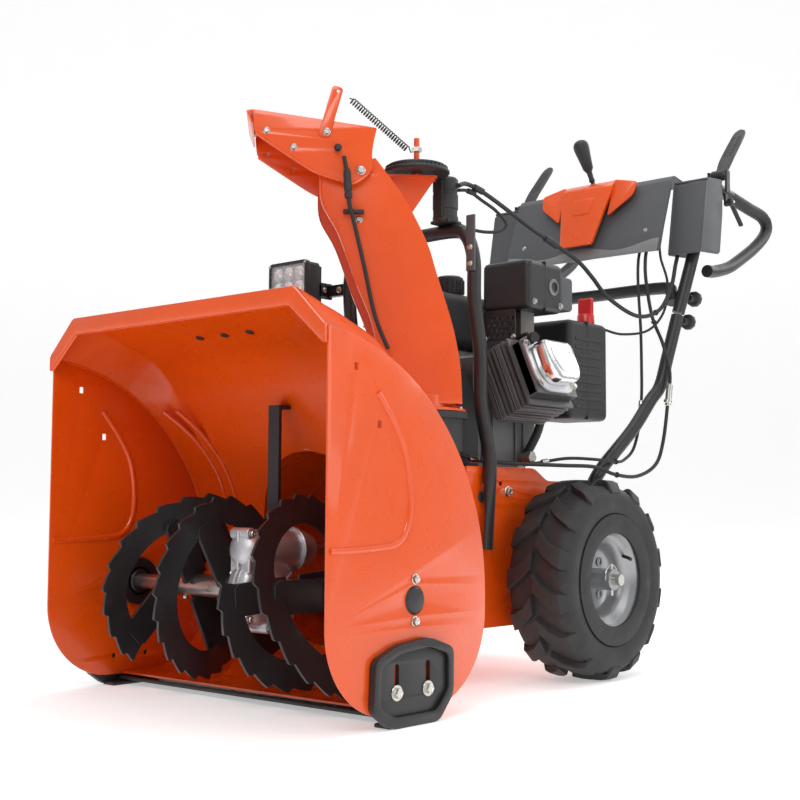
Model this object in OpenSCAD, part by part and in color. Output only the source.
// Two-stage walk-behind snowblower, drawn as its separate working pieces.
// Drawing frame: +X is the operator's left, +Y runs from the bucket mouth to the handles, +Z is up.
// The row frame moves it so the origin lies under the middle of the machine, on the floor.

/* [Bucket] */
// Outer width of the auger bucket
bucket_w = 620; // [618:1:622]
// Height of the bucket's top lip in the drawing frame
bucket_h = 598; // [594:1:602]
// Width of the flat top between the two chamfers
roof_w = 498; // [490:1:504]
// Height where the side plates meet the chamfers
shoulder_z = 541; // [539:1:543]
// Sheet metal thickness
sheet = 3; // [2:0.5:3]

/* [Augers] */
// Outer radius of the auger ribbons
auger_r = 148; // [146:1:149]
// Width of an auger ribbon
ribbon_w = 46; // [40:1:50]
// Distance of the auger shaft behind the bucket mouth
auger_y = 175; // [174:1:176]
// Height of the auger shaft in the drawing frame
auger_z = 176; // [175:1:177]
// Height of the impeller shaft in the drawing frame
impeller_z = 236; // [235.5:0.5:236.5]
// Inner radius of the impeller housing
drum_r = 155; // [153:1:156]

/* [Chute] */
// Sideways place of the chute's turning axis
chute_x = 85; // [84:1:86]
// Place of the chute's turning axis behind the bucket mouth
chute_y = 438; // [437:1:439]
// Angle of the chute from straight ahead at rest, towards the operator's right
chute_turn = 44; // [40:1:48]
// Half of the chute's outside width
chute_half = 65; // [64:0.5:65.5]

/* [Wheels] */
// Outer radius of the snow tyres
tyre_r = 172; // [168:1:173]
// Width of a tyre
tyre_w = 124; // [118:1:126]
// Sideways place of a tyre's middle plane
track_half = 229; // [228:1:230]
// Place of the wheel axle behind the bucket mouth
axle_y = 732; // [730:1:734]

/* [Handles] */
// Outer radius of the handle tubes
tube_r = 13; // [12:0.5:13]
// Sideways place of the hand grips
grip_x = 245; // [244:1:246]

/* [Hidden] */
$fn = 48;

floor_z = 8;                 // the floor's height in the drawing frame
origin_y = 714;              // middle of the machine's length in the drawing frame
side_x = bucket_w / 2;       // outer face of a bucket side plate
wheel_z = floor_z + tyre_r;  // height of the axle
crank_z = 476;               // height of the engine's crankshaft
drum_back_y = 500;           // rear face of the impeller housing
drum_front_y = 334;          // where the housing meets the bucket's rear wall
chassis_x = 140;             // outer face of a chassis side
belt_y = 534;                // hub face of the auger belt's pulleys
run = 0.06;                  // radial running clearance of shafts in their bores
gap = 0.5;                   // clearance between pieces that pass each other
zinc = [0.75, 0.75, 0.72];
black = [0.10, 0.10, 0.11];
orange = [0.95, 0.35, 0.05];
steel = [0.6, 0.6, 0.6];

// ---- helpers -------------------------------------------------------------

// Moves the drawing frame into the row frame
module place() translate([0, -origin_y, -floor_z]) children();

// Extrudes a (Y, Z) outline along X, from x to x + t
module yz(x, t) translate([x, 0, 0]) rotate([90, 0, 90]) linear_extrude(t) children();

// Extrudes an (X, Z) outline along Y, from y to y + t
module xz(y, t) translate([0, y + t, 0]) rotate([90, 0, 0]) linear_extrude(t) children();

// Rods along the three axes, starting at p
module rod_x(p, r, l) translate(p) rotate([0, 90, 0]) cylinder(h = l, r = r);
module rod_y(p, r, l) translate(p) rotate([-90, 0, 0]) cylinder(h = l, r = r);
module rod_z(p, r, l) translate(p) cylinder(h = l, r = r);

// Box from its low corner to its high corner
module box(a, b) translate(a) cube(b - a);

// Copy on the other side of the machine
module both() { children(); mirror([1, 0, 0]) children(); }

function arc(cy, cz, r, a0, a1, n) =
  [for (i = [0:n]) let (a = a0 + (a1 - a0) * i / n) [cy + r * cos(a), cz + r * sin(a)]];
function unit(v) = v / norm(v);
function tangents(p) =
  [for (i = [0:len(p) - 1]) unit(p[min(i + 1, len(p) - 1)] - p[max(i - 1, 0)])];
function carry(t, n, i = 0) =
  i == len(t) ? [] : let (m = unit(n - (n * t[i]) * t[i])) concat([m], carry(t, m, i + 1));

// Catmull-Rom point between b and c
function spline(a, b, c, d, u) =
  0.5 * (2 * b + (c - a) * u + (2 * a - 5 * b + 4 * c - d) * u * u
    + (3 * b - a - 3 * c + d) * u * u * u);

// Smooth route through hand-picked points, n rings for each stretch
function route(p, n) = let (m = len(p) - 1) concat(
  [for (i = [0:m - 1], j = [0:n - 1])
    spline(p[max(i - 1, 0)], p[i], p[i + 1], p[min(i + 2, m)], j / n)], [p[m]]);

// Tube swept along a route as one closed skin
module sweep(p, r, sides) {
  t = tangents(p);
  side = abs(t[0][2]) > 0.9 ? [1, 0, 0] : [0, 0, 1];
  n = carry(t, side);
  rings = [for (i = [0:len(p) - 1]) let (b = cross(t[i], n[i]))
    for (k = [0:sides - 1]) p[i] + r * (cos(360 * k / sides) * n[i] + sin(360 * k / sides) * b)];
  last = (len(p) - 1) * sides;
  skin = [for (i = [0:len(p) - 2], k = [0:sides - 1]) let (q = (k + 1) % sides)
    [i * sides + k, (i + 1) * sides + k, (i + 1) * sides + q, i * sides + q]];
  polyhedron(rings, concat([[for (k = [0:sides - 1]) k]],
    [[for (k = [sides - 1:-1:0]) last + k]], skin));
}

// ---- bucket --------------------------------------------------------------

back_c = [-26, 180];   // centre of the rear edge's long arc
back_r = 360;
heel_c = [204, 154];   // centre of the lower rear corner
heel_r = 130;
toe_c = [122, 146];    // centre of the lower front corner
toe_r = 122;

side_outline = concat([[0, shoulder_z]], arc(back_c[0], back_c[1], back_r, 84, 0, 22),
  arc(heel_c[0], heel_c[1], heel_r, 0, -90, 12), arc(toe_c[0], toe_c[1], toe_r, -90, -180, 12));

shoe_bolts = [[130, 55], [195, 55]];
chassis_bolts = [[517, 300], [620, 330]];
bearing_bolts = [[auger_y, auger_z + 29], [auger_y, auger_z - 29]];

module bucket_side() {
  difference() {
    yz(side_x - sheet, sheet) polygon(side_outline);
    rod_x([side_x - 10, auger_y, auger_z], 20, 20);
    for (b = concat(shoe_bolts, bearing_bolts)) rod_x([side_x - 10, b[0], b[1]], 4.2, 20);
    for (h = [[54, 491], [101, 416]]) box([side_x - 10, h[0] - 4, h[1] - 5],
      [side_x + 10, h[0] + 4, h[1] + 5]);
  }
}

// Distance of the roof's middle from the long arc's centre, by angle
roof_reach = [[36, 360], [41, 363], [49.4, 379], [56.7, 397], [63.3, 406], [71.4, 405],
  [79, 408], [86, 418]];
roof_angles = [79, 71.4, 66, 63.3, 60, 56.7, 53, 49.4, 45, 40.4, 36, 30, 24, 18, 12, 6, 0];
wall_low = concat(arc(heel_c[0], heel_c[1], heel_r, -9, -90, 9), [[150, 24]]);

shell_side = concat([[0, shoulder_z]],
  [for (a = roof_angles) back_c + back_r * [cos(a), sin(a)]], wall_low);
shell_mid = concat([[0, bucket_h]],
  [for (a = roof_angles) back_c + (a < 36 ? back_r : lookup(a, roof_reach)) * [cos(a), sin(a)]],
  wall_low);

// Point of the shell: column 0 and 3 at the side plates, 1 and 2 at the roof's chamfers
function shell_point(i, col, depth) =
  let (inset = i > 11 ? depth - sheet : depth,
    p = (col == 0 || col == 3) ? shell_side[i] : shell_mid[i],
    x = (col == 0 || col == 3 ? side_x - sheet : roof_w / 2) * (col < 2 ? -1 : 1),
    q = p + inset * unit([auger_y, auger_z + 60] - p))
  [x, q[0], q[1]];

module bucket_shell() color(orange) place() {
  n = len(shell_side);
  inner_x = side_x - sheet - 0.05;
  pts = concat([for (i = [0:n - 1], c = [0:3]) shell_point(i, c, 0)],
    [for (i = [0:n - 1], c = [0:3]) shell_point(i, c, sheet)]);
  m = 4 * n;
  faces = concat(
    [for (i = [0:n - 2], c = [0:2]) [4 * i + c + 4, 4 * i + c + 5, 4 * i + c + 1, 4 * i + c]],
    [for (i = [0:n - 2], c = [0:2])
      [m + 4 * i + c, m + 4 * i + c + 1, m + 4 * i + c + 5, m + 4 * i + c + 4]],
    [for (i = [0:n - 2]) [m + 4 * i, m + 4 * i + 4, 4 * i + 4, 4 * i]],
    [for (i = [0:n - 2]) [m + 4 * i + 7, m + 4 * i + 3, 4 * i + 3, 4 * i + 7]],
    [for (c = [0:2]) [m + c + 1, m + c, c, c + 1]],
    [for (c = [0:2]) [2 * m - 4 + c, 2 * m - 3 + c, m - 3 + c, m - 4 + c]]);
  difference() {
    union() {
      polyhedron(pts, faces);
      xz(-8, 8.5) polygon([[-inner_x, shoulder_z + 3], [-roof_w / 2, bucket_h],
        [roof_w / 2, bucket_h], [inner_x, shoulder_z + 3], [inner_x, shoulder_z - 23],
        [roof_w / 2 - 8, bucket_h - 26], [8 - roof_w / 2, bucket_h - 26],
        [-inner_x, shoulder_z - 23]]);
    }
    rod_y([0, 250, impeller_z], drum_r + sheet + 0.2, 200);
  }
}

module bucket_side_left() color(orange) place() bucket_side();
module bucket_side_right() color(orange) place() mirror([1, 0, 0]) bucket_side();

// Drum round the impeller, with the round outlet that the chute stands on
module impeller_housing() color(orange) place() {
  difference() {
    union() {
      // The drum's mouth follows the bucket's rear wall
      difference() {
        rod_y([0, 204, impeller_z], drum_r + sheet, drum_back_y - 204);
        intersection() {
          rod_x([-side_x, back_c[0], back_c[1]], back_r - sheet, bucket_w);
          box([-side_x, 0, heel_c[1]], [side_x, drum_back_y, bucket_h]);
        }
        rod_x([-side_x, heel_c[0], heel_c[1]], heel_r - sheet, bucket_w);
      }
      difference() {
        rod_z([chute_x, chute_y, impeller_z + 40], 72, 452 - impeller_z - 40);
        box([chute_x - 80, drum_back_y, impeller_z], [chute_x + 80, drum_back_y + 20, 374]);
      }
    }
    rod_y([0, 200, impeller_z], drum_r, drum_back_y - 203);
    rod_z([chute_x, chute_y, impeller_z], 69, 300);
    rod_y([0, drum_back_y - 20, impeller_z], 14, 40);
  }
  // Bearing boss in the drum's back wall
  difference() {
    rod_y([0, drum_back_y - 12, impeller_z], 30, 9);
    rod_y([0, drum_back_y - 20, impeller_z], 9.5 + run, 40);
  }
}

module scraper_bar() color(black) place() {
  difference() {
    box([-side_x + 4, 140, 16], [side_x - 4, 205, 21]);
    for (i = [-2:2]) rod_z([i * 130, 180, 0], 4.2, 40);
  }
}

// Skid shoe with its two adjusting slots and raised rim
module skid_shoe() {
  outline = [[83, 101], [131, 119], [196, 125], [247, 108], [247, 44], [215, floor_z],
    [116, floor_z], [80, 33]];
  inner = [[95, 92], [133, 107], [194, 112], [235, 99], [235, 50], [209, 24], [122, 24], [92, 41]];
  slots = [for (b = shoe_bolts) b];
  difference() {
    union() {
      yz(side_x + 0.3, 7) polygon(outline);
      yz(side_x + 7, 6) difference() { polygon(outline); polygon(inner); }
      // Turned-in sole that slides on the snow
      box([side_x - 22, 116, floor_z], [side_x + 7, 215, floor_z + 6]);
    }
    for (s = slots) {
      box([side_x - 1, s[0] - 4.6, s[1] - 2], [side_x + 20, s[0] + 4.6, s[1] + 34]);
      for (z = [s[1] - 2, s[1] + 34]) rod_x([side_x - 1, s[0], z], 4.6, 21);
    }
  }
}

module skid_shoe_left() color(black) place() skid_shoe();
module skid_shoe_right() color(black) place() mirror([1, 0, 0]) skid_shoe();

// Hex head bolt along +X whose seat is at p
module hex_bolt_x(p, r, l, head) {
  rod_x([p[0] - l, p[1], p[2]], r, l + 0.01);
  translate(p) rotate([0, 90, 0]) cylinder(h = head, r = r * 1.9, $fn = 6);
}

module assembly_bolts() color(zinc) place() {
  both() {
    for (b = shoe_bolts) {
      hex_bolt_x([side_x + 7.9, b[0], b[1]], 4, 14, 6);
    }
    for (b = bearing_bolts) hex_bolt_x([side_x + 0.01, b[0], b[1]], 4, 9, 5);
    for (b = chassis_bolts) hex_bolt_x([chassis_x + 0.2, b[0], b[1]], 5, 3.1, 6);
    for (b = [[864, 316], [868, 340]])
      translate([171, b[0], b[1]]) rotate([0, 90, 0]) cylinder(h = 6, r = 8, $fn = 6);
  }
}

// Flanged bearings that carry the auger shaft in the side plates
module auger_bearings() color(black) place() both() {
  difference() {
    union() {
      rod_x([side_x - 14, auger_y, auger_z], 19.8, 16);
      rod_x([side_x - 10, auger_y, auger_z], 40, 7 - 0.01);
    }
    rod_x([side_x - 30, auger_y, auger_z], 12.5 + run, 60);
    for (b = bearing_bolts) rod_x([side_x - 30, b[0], b[1]], 4.2, 60);
  }
}

// ---- augers --------------------------------------------------------------

// Distance of a ribbon from the machine's middle, by degrees along it
ribbon_path = [[0, 66], [60, 73], [104, 88], [164, 122], [207, 172], [253, 205], [309, 212]];
ribbon_turn = 309;
ribbon_steps = 34;
ribbon_t = 5;
left_starts = [-8, 172];
right_starts = [107, -73];
shear_x = 110;   // sideways place of the shear bolts

// One saw-toothed ribbon, starting at angle a0 round the shaft; side is 1 left, -1 right
module ribbon(a0, side) {
  n = ribbon_steps;
  pts = [for (i = [0:n]) let (t = ribbon_turn * i / n, a = a0 + t,
      x = side * lookup(t, ribbon_path), r = auger_r - (i % 3) * 3)
    for (c = [[-1, 0], [1, 0], [1, 1], [-1, 1]]) let (q = c[1] > 0 ? r : auger_r - ribbon_w)
      [x + c[0] * ribbon_t / 2, auger_y + q * cos(a), auger_z + q * sin(a)]];
  faces = concat([[0, 1, 2, 3]], [[4 * n + 3, 4 * n + 2, 4 * n + 1, 4 * n]],
    [for (i = [0:n - 1], k = [0:3]) let (q = (k + 1) % 4)
      [4 * i + k, 4 * i + 4 + k, 4 * i + 4 + q]],
    [for (i = [0:n - 1], k = [0:3]) let (q = (k + 1) % 4)
      [4 * i + k, 4 * i + 4 + q, 4 * i + q]]);
  polyhedron(pts, faces);
}

// Flat bar from the rake's tube out to its ribbon at t degrees along it
module spoke(a0, t, side) {
  x = side * lookup(t, ribbon_path);
  translate([x - 4, auger_y, auger_z]) rotate([a0 + t, 0, 0])
    translate([0, 15, -24]) cube([8, auger_r - ribbon_w - 3, 48]);
}

module rake(starts, side) {
  for (a = starts) {
    ribbon(a, side);
    for (t = [12, 188, 298]) spoke(a, t, side);
  }
  difference() {
    rod_x([side > 0 ? 62 : -232, auger_y, auger_z], 18, 170);
    rod_x([-side_x, auger_y, auger_z], 12.6, bucket_w);
    rod_z([side * shear_x, auger_y, auger_z - 30], 3.2, 60);
  }
}

module auger_rake_left() color(black) place() rake(left_starts, 1);
module auger_rake_right() color(black) place() rake(right_starts, -1);

module auger_shaft() color(steel) place() difference() {
  rod_x([-side_x - 3, auger_y, auger_z], 12.5, bucket_w + 6);
  for (s = [-1, 1]) rod_z([s * shear_x, auger_y, auger_z - 30], 3.2, 60);
}

module shear_bolts() color(zinc) place() for (s = [-1, 1]) {
  rod_z([s * shear_x, auger_y, auger_z - 24], 3, 48);
  rod_z([s * shear_x, auger_y, auger_z + 18.2], 7, 5);
  rod_z([s * shear_x, auger_y, auger_z - 24], 7, 5.8);
}

// ---- gearbox and impeller ------------------------------------------------

gear_teeth = 20;
gear_r = 44;    // pitch radius of the worm gear

// Split aluminium case: round over the gear, a tunnel for the worm on top, a nose to the rear
module auger_gearbox() color([0.8, 0.8, 0.82]) place() difference() {
  union() {
    rod_x([-24, auger_y, auger_z], 56, 48);
    rod_y([0, auger_y - 52, impeller_z], 30, 150);
    box([-24, auger_y - 50, auger_z], [24, auger_y + 50, impeller_z]);
    rod_x([-38, auger_y, auger_z], 22, 76);
    for (b = case_bolts) rod_x([-20, b[0], b[1]], 9, 40);
  }
  rod_x([-13, auger_y, auger_z], 50, 26);
  rod_y([0, auger_y - 44, impeller_z], 21, 88);
  rod_x([-60, auger_y, auger_z], 12.5 + run, 120);
  rod_y([0, 0, impeller_z], 9.5 + run, 600);
}
case_bolts = [[auger_y - 57, auger_z], [auger_y - 42, auger_z - 42], [auger_y, auger_z - 58],
  [auger_y + 42, auger_z - 42], [auger_y + 57, auger_z]];

module worm_gear() color([0.7, 0.5, 0.2]) place() difference() {
  translate([-9, auger_y, auger_z]) rotate([90, 0, 90]) linear_extrude(18) union() {
    circle(r = gear_r - 4.5);
    for (k = [0:gear_teeth - 1]) rotate(360 * k / gear_teeth)
      polygon([[gear_r - 6, -3.4], [gear_r + 3, -1.5], [gear_r + 3, 1.5], [gear_r - 6, 3.4]]);
  }
  rod_x([-60, auger_y, auger_z], 12.52, 120);
}

module impeller_shaft() color(steel) place() {
  rod_y([0, auger_y - 50, impeller_z], 9.5, belt_y + 22 - auger_y + 50);
  // Plain worm core beside the gear's teeth
  rod_y([0, auger_y - 42, impeller_z], 12.5, 84);
}

// Three-blade impeller with turned blade edges
module impeller() color(black) place() difference() {
  union() {
    rod_y([0, 372, impeller_z], 20, 90);
    for (k = [0:2]) translate([0, 0, impeller_z]) rotate([0, 120 * k + 15, 0]) {
      box([0, 376, -2.5], [drum_r - 6, 456, 2.5]);
      box([drum_r - 30, 376, -2.5], [drum_r - 24, 456, 24]);
      box([10, 452, -2.5], [drum_r - 10, 457, 26]);
    }
  }
  rod_y([0, 300, impeller_z], 9.52, 300);
}

module gearbox_strap() color(black) place() {
  // Flat bar down from the bucket's rear wall to the gearbox
  box([-12, 196, impeller_z + 30.2], [12, 202, 461]);
  difference() {
    box([-12, 196, 455], [12, 221, 461]);
    rod_z([0, 211, 440], 4, 40);
  }
}

// ---- chute ---------------------------------------------------------------

// Local chute frame: +X is the way the chute throws, +Y is across it, +Z is up
module chute_frame() translate([chute_x, chute_y, 0]) rotate([0, 0, -90 - chute_turn]) children();

// Extrudes an (x, z) outline across the chute, from y to y + t
module across(y, t) translate([0, y + t, 0]) rotate([90, 0, 0]) linear_extrude(t) children();

chute_back = [[-70, 470], [-66, 535], [-53, 600], [-29, 677], [-13, 729], [11, 779], [30, 812],
  [57, 849], [74, 871]];
chute_front = [[165, 838], [161, 793], [134, 743], [106, 667], [78, 598], [69, 540], [66, 470]];
chute_foot_r = 87;   // largest reach of the chute's foot from its turning axis
chute_back_in = [for (i = [len(chute_back) - 1:-1:0]) chute_back[i] + [3, -0.6]];

module chute_collar() color(black) place() difference() {
  union() {
    rod_z([chute_x, chute_y, 395], 79, 62);
    rod_z([chute_x, chute_y, 448], 86, 10);
  }
  rod_z([chute_x, chute_y, 380], 72.1, 100);
  rod_y([0, 300, impeller_z], drum_r + sheet + 0.3, 300);
}

module chute() color(orange) place() chute_frame() {
  difference() {
    union() {
      rod_z([0, 0, 459], 84, 5);
      rod_z([0, 0, 459], 72, 26);
    }
    rod_z([0, 0, 450], 64, 60);
  }
  intersection() {
    union() {
      for (s = [-1, 1]) across(s > 0 ? chute_half - 3 : -chute_half, 3)
        polygon(concat(chute_back, chute_front));
      across(-chute_half, 2 * chute_half) polygon(concat(chute_back, chute_back_in));
      // Outward flanges along the open front
      for (s = [-1, 1]) across(s > 0 ? chute_half - 3 : -chute_half - 4, 7)
        polygon([[158, 793], [161, 793], [134, 743], [106, 667], [78, 598], [69, 540],
          [66, 490], [63, 490], [66, 540], [75, 598], [103, 667], [131, 743]]);
    }
    // The foot's corners stay clear of the belt cover as the chute turns
    union() {
      rod_z([0, 0, 450], chute_foot_r, 122);
      box([-200, -100, 570], [200, 100, 900]);
    }
  }
}

hinge_p = [98, 846];   // deflector hinge in the chute's (x, z)

module deflector() color(orange) place() chute_frame() {
  outline = [[73, 918], [274, 943], [270, 903], [211, 865], [169, 840], [130, 827], [109, 823],
    [85, 839], [79, 851], [80, 880]];
  for (s = [-1, 1]) difference() {
    across(s > 0 ? 73 : -76, 3) polygon(outline);
    for (h = [[251, 908], [207, 882]]) translate([h[0], -80, h[1]]) rotate([-90, 0, 0])
      cylinder(h = 160, r = 3.5);
  }
  // Roof with its turned-down front lip
  across(-76, 152) polygon([[73, 918], [274, 943], [285, 943], [274, 920], [271, 920],
    [279, 940], [274, 940], [73, 915]]);
  // Hinge pins through the chute walls
  for (s = [-1, 1]) translate([hinge_p[0], s > 0 ? chute_half + gap : -77, hinge_p[1]])
    rotate([-90, 0, 0]) cylinder(h = 77 - chute_half - gap, r = 4);
  // Spring strap and the cable's ball stud on the outer face
  across(76, 3) polygon([[150, 898], [168, 902], [145, 986], [127, 981]]);
  translate([136, 76, 880]) rotate([-90, 0, 0]) cylinder(h = 8, r = 3);
  translate([136, 86, 880]) sphere(r = 6);
}

spring_low = [10, 6, 897];
spring_high = [125, 76, 972];

module deflector_spring() color(zinc) place() chute_frame() {
  d = spring_high - spring_low;
  translate(spring_low + d * 0.04) rotate([0, acos(d[2] / norm(d)), atan2(d[1], d[0])])
    cylinder(h = norm(d) * 0.9, r = 6.5);
}

deflector_cable_route = [[126, 88, 866], [119, 86, 826], [117, 84, 792], [110, 82, 765],
  [92, 80, 690], [74, 78, 610], [52, 78, 556]];
module deflector_cable() color(black) place() chute_frame() {
  sweep(route(deflector_cable_route, 9), 3.5, 8);
  translate([118, 84, 798]) rotate([0, 4, 0]) cylinder(h = 50, r = 6.5);
  box([92, chute_half, 776], [126, chute_half + 12, 783]);
}

// Fixed head that turns the chute, standing on the hoop
module rotator_head() color(black) place() difference() {
  union() {
    rod_z([chute_x, chute_y, 862], 56, 6);
    rod_z([chute_x, chute_y, 868], 50, 8);
    rod_z([chute_x + 4, 510, 788], 22, 80);
    box([chute_x - 12, chute_y + 40, 862], [chute_x + 20, 510, 868]);
    box([chute_x - 16, 493, 787.8], [chute_x + 24, 530, 793]);
  }
  rod_z([chute_x, chute_y, 850], 8 + run, 60);
}

module rotator_post() color(orange) place() chute_frame() {
  rod_z([0, 0, 853], 8, 27);
  rod_z([0, 0, 880], 5, 43);
  // Gusset that joins the post to the chute's back
  across(-3, 6) polygon([[52, 857], [-33, 857], [14, 786]]);
  box([-33, -16, 853], [50, 16, 857]);
}

// ---- hoop and headlight --------------------------------------------------

hoop_leg = [[-153, 548, 232], [-153, 552, 300], [-152, 552, 390], [-147, 548, 430], [-144, 540, 480],
  [-144, 538, 560], [-144, 521, 650], [-144, 519, 720], [-130, 518, 762], [-100, 518, 775]];
hoop_route = concat(hoop_leg, [[0, 518, 775]],
  [for (i = [len(hoop_leg) - 1:-1:0]) [-hoop_leg[i][0], hoop_leg[i][1], hoop_leg[i][2]]]);

module chute_hoop() color(black) place() {
  sweep(route(hoop_route, 3), 12, 12);
  // Bracket arm out to the headlight, on the right leg
  box([-200, 515, 690], [-156, 527, 712]);
  difference() {
    box([-202, 492, 686], [-196, 527, 716]);
    rod_x([-210, 500, 701], 4 + run, 30);
  }
  // Stay that carries the rotator's cables
  box([138, 505, 700], [156, 509, 796]);
}

module headlight_housing() color(black) place() {
  difference() {
    box([-285, 446, 652], [-185, 484, 752]);
    box([-280, 440, 657], [-190, 456, 747]);
  }
  for (k = [0:5]) box([-275 + 16 * k, 484, 660], [-271 + 16 * k, 492, 744]);
  // Ears and pivot pin on the bracket
  box([-195.6, 484, 688], [-191, 508, 714]);
  rod_x([-203, 500, 701], 4, 12);
}

module headlight_lens() color([0.9, 0.92, 0.95]) place() box([-279.9, 448, 657.1], [-190.1, 452, 746.9]);

// ---- chassis and wheels --------------------------------------------------

module chassis() color(orange) place() {
  outline = [[505, 100], [505, 372], [700, 372], [740, 350], [900, 350], [900, 150], [850, 100]];
  for (s = [-1, 1]) difference() {
    yz(s > 0 ? chassis_x - sheet : -chassis_x, sheet) polygon(outline);
    rod_x([-200, axle_y, wheel_z], 11.2, 400);
    for (b = chassis_bolts) rod_x([-200, b[0], b[1]], 5.2, 400);
  }
  // Front plate against the impeller housing, then deck, rear wall and bottom cover
  w = chassis_x - sheet / 2;
  difference() {
    box([-w, 501, 100], [w, 505.5, 372]);
    rod_y([0, 490, impeller_z], 20, 40);
  }
  box([-w, 583, 369], [w, 740, 372]);
  box([-w, 700, 347], [w, 900, 350]);
  box([-w, 897, 150], [w, 900, 348]);
  box([-w, 505, 100], [w, 850, 103]);
}

// Half axle with its hub pin
module half_axle() {
  difference() {
    rod_x([20, axle_y, wheel_z], 9.5, 278);
    rod_z([278, axle_y, wheel_z - 30], 3.3, 60);
  }
  rod_z([278, axle_y, wheel_z - 27], 3.1, 54);
}
module axle_left() color(steel) place() half_axle();
module axle_right() color(steel) place() mirror([1, 0, 0]) half_axle();

rim_r = 92;
// Stepped dish rim with a hub tube
module rim() {
  translate([0, axle_y, wheel_z]) rotate([0, 90, 0]) difference() {
    rotate_extrude($fn = 96) polygon([[9.6, 186], [18, 186], [18, 236], [52, 240], [60, 262],
      [70, 270], [80, 276], [rim_r - 6, 286], [rim_r, 289], [rim_r + 6, 289], [rim_r + 6, 284],
      [rim_r, 281], [rim_r - 3, 270], [rim_r - 3, 192], [rim_r, 186], [rim_r + 6, 180],
      [rim_r + 6, 175], [rim_r, 175], [rim_r - 7, 184], [rim_r - 7, 268], [72, 262], [66, 258],
      [58, 236], [24, 230], [24, 186], [18, 182], [9.6, 182]]);
    for (k = [0:3]) rotate(90 * k + 45) translate([40, 0, 200]) cylinder(h = 80, r = 4);
  }
  difference() {
    rod_x([236, axle_y, wheel_z], 18, 50);
    rod_x([180, axle_y, wheel_z], 9.6, 200);
    rod_z([278, axle_y, wheel_z - 30], 3.3, 60);
  }
}
module rim_left() color([0.8, 0.8, 0.82]) place() rim();
module rim_right() color([0.8, 0.8, 0.82]) place() mirror([1, 0, 0]) rim();

// Snow tyre: a round casing; its lugs are within the outer radius
module tyre() {
  lo = track_half - tyre_w / 2;
  hi = track_half + tyre_w / 2;
  translate([0, axle_y, wheel_z]) rotate([0, 90, 0]) rotate_extrude($fn = 120)
    polygon([[rim_r + 0.3, 187], [rim_r + 6.6, 180.8], [rim_r + 14, lo + 6], [rim_r + 40, lo],
      [tyre_r - 20, lo + 3], [tyre_r - 6, lo + 12], [tyre_r, lo + 28], [tyre_r, hi - 28],
      [tyre_r - 6, hi - 12], [tyre_r - 20, hi - 3], [rim_r + 40, hi], [rim_r + 14, hi - 5],
      [rim_r + 6.6, 283.2], [rim_r + 0.3, 280.2]]);
}
module tyre_left() color(black) place() tyre();
module tyre_right() color(black) place() mirror([1, 0, 0]) tyre();

// ---- engine --------------------------------------------------------------

module engine_block() color([0.45, 0.45, 0.46]) place() difference() {
  union() {
    box([-95, 592, 372], [95, 735, 565]);
    rod_y([0, 582, crank_z], 60, 11);
    // Finned cylinder, leaning up to the left
    translate([95, 662, 500]) rotate([0, 67, 0]) {
      translate([0, 0, -40]) cylinder(h = 140, r = 42);
      for (k = [0:6]) translate([-62, -66, 22 + 11 * k]) cube([124, 132, 5]);
      translate([-50, -60, 90]) cube([100, 120, 22]);
    }
  }
  rod_y([0, 500, crank_z], 12.6 + run, 300);
  rod_y([0, 660, crank_z], 70, 60);
}

module valve_cover() color([0.85, 0.85, 0.87]) place()
  translate([95, 662, 500]) rotate([0, 67, 0]) translate([0, 0, 112.2]) {
    linear_extrude(6) square([96, 116], center = true);
    translate([0, 0, 6]) linear_extrude(28) square([78, 92], center = true);
    for (a = [-1, 1], b = [-1, 1]) translate([41 * a, 51 * b, 6]) cylinder(h = 7, r = 6);
  }

module recoil_cover() color(black) place() difference() {
  union() {
    rod_y([-10, 736, crank_z], 98, 50);
    rod_y([-10, 786, crank_z], 80, 10);
  }
  rod_y([-10, 730, crank_z], 92, 54);
  for (k = [0:11]) translate([-10, 780, crank_z]) rotate([0, 30 * k, 0])
    box([40, -5, -4], [72, 30, 4]);
  rod_x([-120, 762, crank_z + 40], 6, 60);
}

module recoil_handle() color(black) place() {
  rod_x([-150, 762, crank_z + 40], 3, 205);
  rod_y([-156, 737, crank_z + 40], 9, 50);
}

cap_x = -7;
module fuel_tank() color(black) place() difference() {
  box([-150, 560, 585], [35, 780, 690]);
  box([-145, 565, 590], [30, 775, 685]);
  rod_z([cap_x, 640, 670], 20, 40);
}

module fuel_cap() color(black) place() {
  rod_z([cap_x, 640, 690.4], 28, 34);
  rod_z([cap_x, 640, 672], 19.4, 19);
}

module muffler() color([0.35, 0.35, 0.36]) place() {
  box([82, 652, 662], [160, 736, 726]);
  box([110, 660, 600], [140, 700, 662]);
}

// Heat guard over the muffler with its perforated apron
module muffler_guard() color(black) place() difference() {
  union() {
    difference() {
      box([66, 640, 650], [172, 748, 740]);
      box([69, 643, 640], [169, 745, 737]);
    }
    box([72, 640, 597], [142, 643, 651]);
    box([100, 747, 660], [165, 790, 722]);
  }
  rod_x([150, 710, 697], 12, 40);
  for (a = [0:3], b = [0:2]) rod_y([84 + 12 * a, 600, 604 + 13 * b], 3, 80);
}

module carb_cover() color(black) place() difference() {
  box([45, 800, 466], [150, 931, 652]);
  box([49, 804, 460], [146, 927, 648]);
  rod_z([110, 915, 640], 4 + run, 30);
  rod_y([120, 900, 527], 9 + run, 60);
}

module throttle_knob() color("red") place() {
  rod_z([110, 915, 640], 4, 14);
  rod_z([110, 915, 652.5], 17, 22);
  box([94, 909, 674], [126, 921, 706]);
}

module primer_bulb() color("red") place() {
  rod_y([120, 920, 527], 9, 16);
  translate([120, 935.5, 527]) rotate([-90, 0, 0]) difference() {
    sphere(r = 15);
    translate([0, 0, -20]) cylinder(h = 20, r = 30);
  }
}

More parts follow.
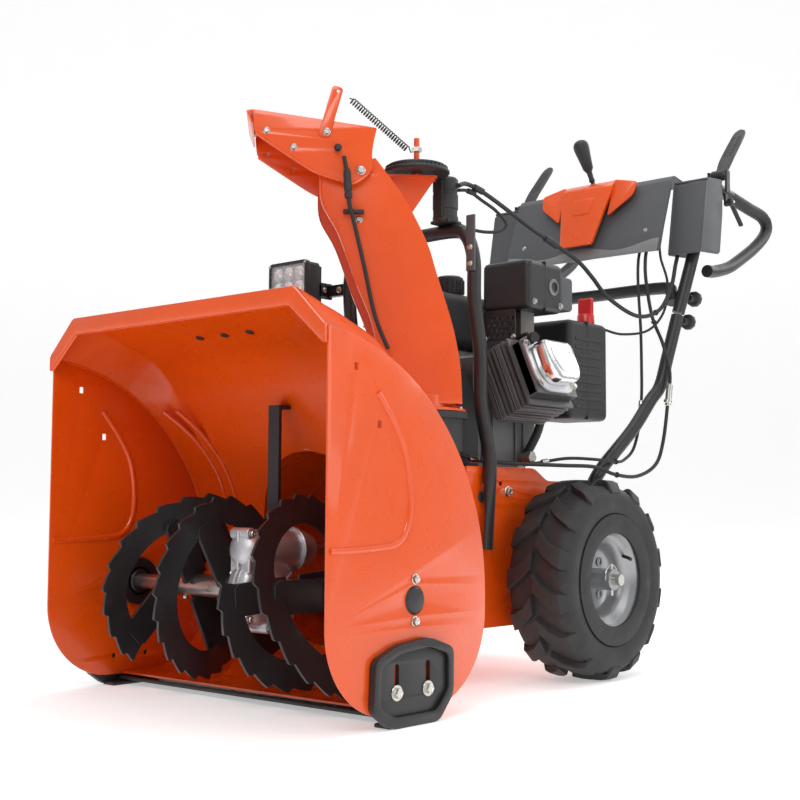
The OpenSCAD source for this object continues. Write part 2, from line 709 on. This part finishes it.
// ---- belt drive ----------------------------------------------------------

pulley_big = 84;
pulley_small = 34;
belt_t = 9;

// Grooved pulley along Y: outer radius r, hub bore radius b
module pulley(y, z, r, b) translate([0, y, z]) rotate([-90, 0, 0]) rotate_extrude($fn = 96)
  polygon([[b, -4], [18, -4], [18, 0], [r, 0], [r, 2], [r - 11, 5], [r - 11, 13], [r, 16],
    [r, 18], [b, 18]]);

module crankshaft() color(steel) place() {
  rod_y([0, belt_y - 5, crank_z], 12.6, 782 - belt_y + 5);
  pulley(belt_y, crank_z, pulley_small, 12.5);
  pulley(belt_y + 23, crank_z, pulley_small, 12.5);
  rod_y([0, 680, crank_z], 60, 12);
}

module auger_pulley() color(steel) place() difference() {
  pulley(belt_y, impeller_z, pulley_big, 9.4);
  rod_y([0, 400, impeller_z], 9.52, 300);
}

// Outline round two circles in (X, Z), the lower one at z0 with radius a, the upper with radius b
module loop_outline(z0, a, z1, b) {
  d = z1 - z0;
  c = acos((a - b) / d);
  translate([0, z0]) circle(r = a);
  translate([0, z1]) circle(r = b);
  polygon([[a * sin(c), z0 + a * cos(c)], [b * sin(c), z1 + b * cos(c)],
    [-b * sin(c), z1 + b * cos(c)], [-a * sin(c), z0 + a * cos(c)]]);
}

module drive_belts() color(black) place() {
  xz(belt_y + 5.6, 6.8) difference() {
    loop_outline(impeller_z, pulley_big - 11 + gap + belt_t, crank_z,
      pulley_small - 11 + gap + belt_t);
    loop_outline(impeller_z, pulley_big - 11 + gap, crank_z, pulley_small - 11 + gap);
  }
}

// Cover over the belts, open at the bottom over the chassis
module belt_cover() color(black) place() {
  outer = [[-105, 374], [-105, 480], [-80, 536], [-40, 560], [40, 560], [80, 536], [105, 480],
    [105, 374]];
  inner = [[-101, 370], [-101, 479], [-77, 533], [-39, 556], [39, 556], [77, 533], [101, 479],
    [101, 370]];
  difference() {
    xz(526, 56) polygon(outer);
    xz(529, 50) polygon(inner);
    rod_y([0, 560, crank_z], 14, 30);
  }
}

// ---- handles and dash ----------------------------------------------------

lower_route = [[157, 850, 280], [157, 858, 330], [160, 884, 371], [174, 975, 450],
  [182, 1031, 510], [188, 1060, 542], [196, 1076, 600], [206.3, 1099.3, 684]];
upper_route = [[207, 1101, 690], [215, 1116, 745], [232, 1150, 870], [240, 1166, 930],
  [244, 1186, 950], [grip_x, 1222, 952], [grip_x, 1254, 947], [grip_x, 1338, 937],
  [grip_x, 1395, 931], [grip_x, 1418, 922], [grip_x, 1422, 905], [grip_x, 1403, 883],
  [grip_x, 1359, 854], [grip_x, 1296, 821], [grip_x, 1241, 796], [grip_x, 1180, 780],
  [grip_x, 1151, 777]];

lever_pivot = [1206, 982];
trigger_pivot = [1216, 926];

module lower_handles() color(black) place() both() {
  sweep(route(lower_route, 3), tube_r, 12);
  // Flattened foot on the chassis side
  box([chassis_x + 0.3, 838, 270], [147, 876, 345]);
}

module upper_handles() color(black) place() {
  both() {
    sweep(route(upper_route, 3), tube_r, 12);
    // Clamp knobs where the upper tube meets the lower one
    rod_y([206, 1113, 676], 5, 26);
    rod_y([206, 1138, 676], 16, 12);
    rod_y([212, 1128, 724], 5, 26);
    rod_y([212, 1154, 724], 16, 12);
  }
  both() {
    // Pivot lugs and pin of the hand lever
    for (x = [-22, 17]) box([grip_x + x, 1198, 944], [grip_x + x + 5, 1214, 991]);
    rod_x([grip_x - 21, lever_pivot[0], lever_pivot[1]], 5, 42);
    // Lug and pin of the steering trigger
    box([grip_x + 8, 1210, 919], [grip_x + 13, 1222, 944]);
    rod_x([grip_x + 9, trigger_pivot[0], trigger_pivot[1]], 3, 20);
  }
  // Cross tube behind the engine
  sweep(route([[192, 1106, 712], [184, 1116, 735], [160, 1120, 747], [0, 1120, 747],
    [-160, 1120, 747], [-184, 1116, 735], [-192, 1106, 712]], 4), tube_r, 12);
}

panel_out = [[1056, 812], [1074, 862], [1112, 965], [1122, 976], [1180, 966], [1180, 962],
  [1123, 971], [1116, 963], [1078, 861], [1062, 812]];

module dash_panel() color([0.35, 0.36, 0.38]) place() {
  difference() {
    yz(-190, 380) polygon(panel_out);
    box([speed_x - 6, 1126, 940], [speed_x + 6, 1170, 1000]);
  }
  // End housings over the handle tubes
  both() difference() {
    yz(189, 75) polygon([[1092, 806], [1118, 950], [1128, 962], [1186, 968], [1186, 900],
      [1172, 812]]);
    yz(194, 66) polygon([[1097, 800], [1122, 948], [1131, 957], [1190, 964], [1190, 780],
      [1097, 780]]);
    box([222, 1150, 930], [270, 1200, 975]);
  }
}

// Orange centre cover with its two wings
module dash_cover() color(orange) place() {
  intersection() {
    yz(-64, 128) polygon([[1040, 838], [1046, 862], [1088, 972], [1096, 984], [1124, 990],
      [1124, 979], [1110, 966], [1072.5, 862], [1063, 838]]);
    xz(1030, 110) polygon([[-64, 992], [64, 992], [63, 965], [38, 836], [-38, 836], [-63, 965]]);
  }
  both() intersection() {
    yz(62, 58) polygon([[1074, 905], [1094, 962], [1106, 974], [1108, 964.5], [1088, 904]]);
    xz(1030, 110) polygon([[58, 900], [58, 985], [118, 978], [110, 940]]);
  }
}

// Hand lever above a grip, with its pivot eye
module hand_lever() {
  difference() {
    union() {
      rod_x([grip_x - 14, lever_pivot[0], lever_pivot[1]], 11, 28);
      translate([grip_x - 14, lever_pivot[0], lever_pivot[1]]) rotate([48, 0, 0])
        box([0, 6, -6], [28, 40, 8]);
      translate([grip_x - 15, lever_pivot[0], lever_pivot[1]]) rotate([48, 0, 0])
        box([0, 38, -2], [30, 158, 7]);
    }
    rod_x([grip_x - 40, lever_pivot[0], lever_pivot[1]], 5 + run, 80);
  }
}

module auger_lever() color(black) place() hand_lever();
module drive_lever() color(black) place() mirror([1, 0, 0]) hand_lever();

speed_x = -20;
module speed_lever() color(black) place() {
  rod_x([speed_x - 18, 1146, 920], 8, 36);
  box([speed_x - 3, 1142, 920], [speed_x + 3, 1150, 1002]);
  translate([speed_x, 1144, 1000]) rotate([10, -14, 0]) {
    cylinder(h = 30, r = 6);
    translate([0, 0, 28]) cylinder(h = 50, r1 = 11, r2 = 17);
    translate([0, 0, 78]) sphere(r = 17);
  }
}

module steering_trigger() difference() {
  union() {
    rod_x([grip_x + 16, trigger_pivot[0], trigger_pivot[1]], 8, 10);
    translate([grip_x + 16, trigger_pivot[0], trigger_pivot[1]]) rotate([-42, 0, 0])
      box([0.5, 5, -3], [9.5, 62, 3]);
  }
  rod_x([grip_x, trigger_pivot[0], trigger_pivot[1]], 3 + run, 60);
}
module steering_trigger_left() color(black) place() steering_trigger();
module steering_trigger_right() color(black) place() mirror([1, 0, 0]) steering_trigger();

// ---- control cables ------------------------------------------------------

rotator_route = [[115, 514, 852], [108, 545, 862], [108, 590, 856], [113, 645, 838],
  [120, 707, 814], [128, 752, 797], [135, 792, 783], [143, 842, 763], [152, 872, 738],
  [166, 910, 700], [186, 980, 672], [200, 1040, 690], [206, 1076, 740], [204, 1098, 788],
  [201, 1117, 820], [201, 1121, 845]];
pointer_route = [[100, 533, 850], [101, 560, 853], [104, 594, 842], [109, 630, 828],
  [112, 655, 808], [104, 640, 794], [92, 600, 790], [82, 560, 796], [78, 534, 812]];
auger_route = [[154, 1078, 835], [154, 1066, 800], [160, 1058, 752], [172, 1060, 680],
  [196, 1058, 625], [211, 1058, 566], [210, 1050, 505], [207, 1036, 430], [206, 1008, 385],
  [200, 950, 362], [192, 885, 364], [178, 838, 377], [164, 754, 378], [158, 664, 378],
  [147, 606, 379], [122, 552, 384], [108, 522, 394]];
drive_route = [[138, 1080, 835], [138, 1066, 800], [144, 1054, 745], [150, 1052, 660],
  [156, 1044, 580], [160, 1036, 520], [163, 1020, 460], [168, 990, 415], [174, 948, 394],
  [183, 905, 388], [174, 855, 391], [150, 790, 392], [134, 720, 382], [128, 690, 378]];
throttle_route = [[114, 939, 656], [126, 958, 648], [150, 985, 640], [180, 1030, 650],
  [196, 1064, 690], [192, 1086, 750], [180, 1082, 800], [176, 1084, 835]];

module control_cables() color(black) place() {
  sweep(route(rotator_route, 4), 4, 8);
  sweep(route(pointer_route, 4), 3, 8);
  sweep(route(auger_route, 4), 3.5, 8);
  sweep(route(drive_route, 4), 3, 8);
  sweep(route(throttle_route, 4), 2.5, 8);
}

// ---- output --------------------------------------------------------------

bucket_shell();
bucket_side_left();
bucket_side_right();
impeller_housing();
scraper_bar();
skid_shoe_left();
skid_shoe_right();
assembly_bolts();
auger_bearings();
auger_shaft();
auger_rake_left();
auger_rake_right();
shear_bolts();
auger_gearbox();
worm_gear();
impeller_shaft();
impeller();
gearbox_strap();
chute_collar();
chute();
deflector();
deflector_spring();
deflector_cable();
rotator_head();
rotator_post();
chute_hoop();
headlight_housing();
headlight_lens();
belt_cover();
chassis();
axle_left();
axle_right();
rim_left();
rim_right();
tyre_left();
tyre_right();
engine_block();
valve_cover();
recoil_cover();
recoil_handle();
fuel_tank();
fuel_cap();
muffler();
muffler_guard();
carb_cover();
throttle_knob();
primer_bulb();
crankshaft();
auger_pulley();
drive_belts();
lower_handles();
upper_handles();
dash_panel();
dash_cover();
auger_lever();
drive_lever();
speed_lever();
steering_trigger_left();
steering_trigger_right();
control_cables();
